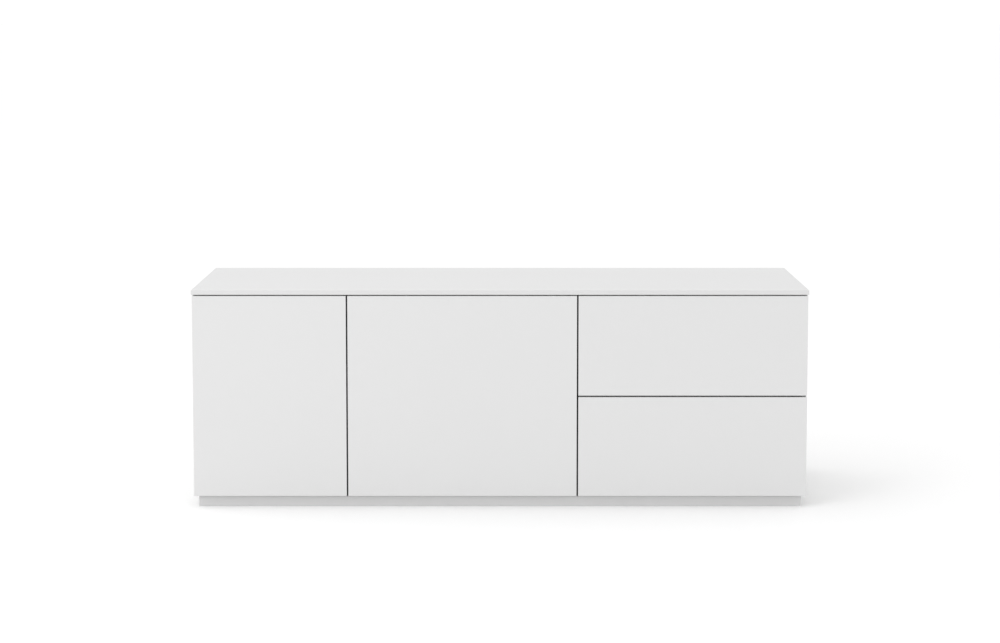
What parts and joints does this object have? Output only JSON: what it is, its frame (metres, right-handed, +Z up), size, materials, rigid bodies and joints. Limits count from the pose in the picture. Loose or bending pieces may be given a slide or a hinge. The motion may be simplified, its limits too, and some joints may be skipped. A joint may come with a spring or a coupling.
{
  "type": "tv stand with doors",
  "caption": "Low white media sideboard on a recessed plinth, with hinged doors beside stacked drawers; flat handleless fronts open by push latches.",
  "frame": {"origin": "on the floor under the centre of the top panel, which is the middle of the overall box's base", "axes": "+Z up, -Y out of the fronts, +X to the right as one faces the fronts (towards the drawers)"},
  "size_m": [1.6, 0.5, 0.57],
  "materials": {
    "front_lacquer": "satin white lacquer on medium density fibreboard",
    "body_lacquer": "satin white lacquer on the top panel",
    "plinth_lacquer": "satin white lacquer on the plinth strips",
    "melamine": "white melamine faced particle board, fine pearl texture",
    "back_board": "white faced hardboard",
    "drawer_melamine": "white melamine faced drawer board",
    "drawer_bottom_board": "white faced drawer bottom",
    "edge_band": "black edge band on the carcass front edges",
    "beech": "fluted beech dowel",
    "zinc_steel": "zinc plated rolled steel",
    "nickel_steel": "nickel plated pressed steel",
    "grey_plastic": "grey moulded plastic",
    "bumper_gel": "translucent soft bumper"
  },
  "bodies": {
    "carcass": {"top_panel": "body_lacquer", "left_side_panel": "melamine", "right_side_panel": "melamine", "bottom_panel": "melamine", "left_partition": "melamine", "right_partition": "melamine", "carcass_edge_bands": "edge_band", "left_back_panel": "back_board", "middle_back_panel": "back_board", "right_back_panel": "back_board", "plinth_front_rail": "plinth_lacquer", "plinth_rear_rail": "plinth_lacquer", "plinth_end_rails": "plinth_lacquer", "plinth_cross_rails": "plinth_lacquer", "cam_fittings": "zinc_steel", "wood_dowels": "beech", "left_shelf": "melamine", "middle_shelf": "melamine", "shelf_pins": "nickel_steel", "hinge_arms": "nickel_steel", "hinge_mounting_plates": "nickel_steel", "wall_screws": "zinc_steel", "door_latch_housings": "grey_plastic", "drawer_latch_housings": "grey_plastic", "cabinet_rails": "zinc_steel"},
    "left_door_leaf": {"left_door": "front_lacquer", "left_hinge_cups": "nickel_steel", "left_cup_screws": "zinc_steel", "left_strike_plate": "zinc_steel", "left_door_bumpers": "bumper_gel"},
    "left_outer_links": {"left_hinge_outer_links": "nickel_steel"},
    "left_inner_links": {"left_hinge_inner_links": "nickel_steel"},
    "left_door_latch": {"left_door_plunger": "grey_plastic"},
    "middle_door_leaf": {"middle_door": "front_lacquer", "middle_hinge_cups": "nickel_steel", "middle_cup_screws": "zinc_steel", "middle_strike_plate": "zinc_steel", "middle_door_bumpers": "bumper_gel"},
    "middle_outer_links": {"middle_hinge_outer_links": "nickel_steel"},
    "middle_inner_links": {"middle_hinge_inner_links": "nickel_steel"},
    "middle_door_latch": {"middle_door_plunger": "grey_plastic"},
    "upper_drawer": {"upper_drawer_front": "front_lacquer", "upper_drawer_left_side": "drawer_melamine", "upper_drawer_right_side": "drawer_melamine", "upper_drawer_back": "drawer_melamine", "upper_drawer_bottom": "drawer_bottom_board", "upper_drawer_dowels": "beech", "upper_drawer_rails": "zinc_steel"},
    "upper_runner_middle": {"upper_drawer_middle_rails": "zinc_steel"},
    "upper_drawer_latch": {"upper_drawer_plunger": "grey_plastic"},
    "lower_drawer": {"lower_drawer_front": "front_lacquer", "lower_drawer_left_side": "drawer_melamine", "lower_drawer_right_side": "drawer_melamine", "lower_drawer_back": "drawer_melamine", "lower_drawer_bottom": "drawer_bottom_board", "lower_drawer_dowels": "beech", "lower_drawer_rails": "zinc_steel"},
    "lower_runner_middle": {"lower_drawer_middle_rails": "zinc_steel"},
    "lower_drawer_latch": {"lower_drawer_plunger": "grey_plastic"}
  },
  "joints": [
    {"name": "left_door_hinge", "type": "hinge", "parent": "carcass", "child": "left_door_leaf", "pos_m": [-0.79, -0.242, 0.292], "axis": [0, 0, -1], "range_deg": [0, 95]},
    {"name": "middle_door_hinge", "type": "hinge", "parent": "carcass", "child": "middle_door_leaf", "pos_m": [-0.3875, -0.242, 0.292], "axis": [0, 0, -1], "range_deg": [0, 95]},
    {"name": "upper_drawer_slide", "type": "slide", "parent": "carcass", "child": "upper_drawer", "axis": [0, -1, 0], "range_m": [0, 0.4]},
    {"name": "lower_drawer_slide", "type": "slide", "parent": "carcass", "child": "lower_drawer", "axis": [0, -1, 0], "range_m": [0, 0.4]},
    {"name": "left_outer_link_pivot", "type": "hinge", "parent": "carcass", "child": "left_outer_links", "pos_m": [-0.768, -0.22, 0.292], "axis": [0, 0, -1], "range_deg": [0, 95]},
    {"name": "left_inner_link_pivot", "type": "hinge", "parent": "left_door_leaf", "child": "left_inner_links", "pos_m": [-0.7715, -0.2355, 0.292], "axis": [0, 0, -1], "range_deg": [-95, 0]},
    {"name": "left_door_plunger_slide", "type": "slide", "parent": "carcass", "child": "left_door_latch", "axis": [0, -1, 0], "range_m": [0, 0.014]},
    {"name": "middle_outer_link_pivot", "type": "hinge", "parent": "carcass", "child": "middle_outer_links", "pos_m": [-0.3655, -0.22, 0.292], "axis": [0, 0, -1], "range_deg": [0, 95]},
    {"name": "middle_inner_link_pivot", "type": "hinge", "parent": "middle_door_leaf", "child": "middle_inner_links", "pos_m": [-0.369, -0.2355, 0.292], "axis": [0, 0, -1], "range_deg": [-95, 0]},
    {"name": "middle_door_plunger_slide", "type": "slide", "parent": "carcass", "child": "middle_door_latch", "axis": [0, -1, 0], "range_m": [0, 0.014]},
    {"name": "upper_runner_slide", "type": "slide", "parent": "carcass", "child": "upper_runner_middle", "axis": [0, -1, 0], "range_m": [0, 0.2]},
    {"name": "upper_drawer_plunger_slide", "type": "slide", "parent": "carcass", "child": "upper_drawer_latch", "axis": [0, -1, 0], "range_m": [0, 0.014]},
    {"name": "lower_runner_slide", "type": "slide", "parent": "carcass", "child": "lower_runner_middle", "axis": [0, -1, 0], "range_m": [0, 0.2]},
    {"name": "lower_drawer_plunger_slide", "type": "slide", "parent": "carcass", "child": "lower_drawer_latch", "axis": [0, -1, 0], "range_m": [0, 0.014]}
  ],
  "couplings": [
    {"joint": "left_outer_link_pivot", "follows": "left_door_hinge", "ratio": 1},
    {"joint": "left_inner_link_pivot", "follows": "left_door_hinge", "ratio": -1},
    {"joint": "left_door_plunger_slide", "follows": "left_door_hinge", "m_per_rad": 0.0084436},
    {"joint": "middle_outer_link_pivot", "follows": "middle_door_hinge", "ratio": 1},
    {"joint": "middle_inner_link_pivot", "follows": "middle_door_hinge", "ratio": -1},
    {"joint": "middle_door_plunger_slide", "follows": "middle_door_hinge", "m_per_rad": 0.0084436},
    {"joint": "upper_runner_slide", "follows": "upper_drawer_slide", "ratio": 0.5},
    {"joint": "upper_drawer_plunger_slide", "follows": "upper_drawer_slide", "ratio": 0.035},
    {"joint": "lower_runner_slide", "follows": "lower_drawer_slide", "ratio": 0.5},
    {"joint": "lower_drawer_plunger_slide", "follows": "lower_drawer_slide", "ratio": 0.035}
  ]
}
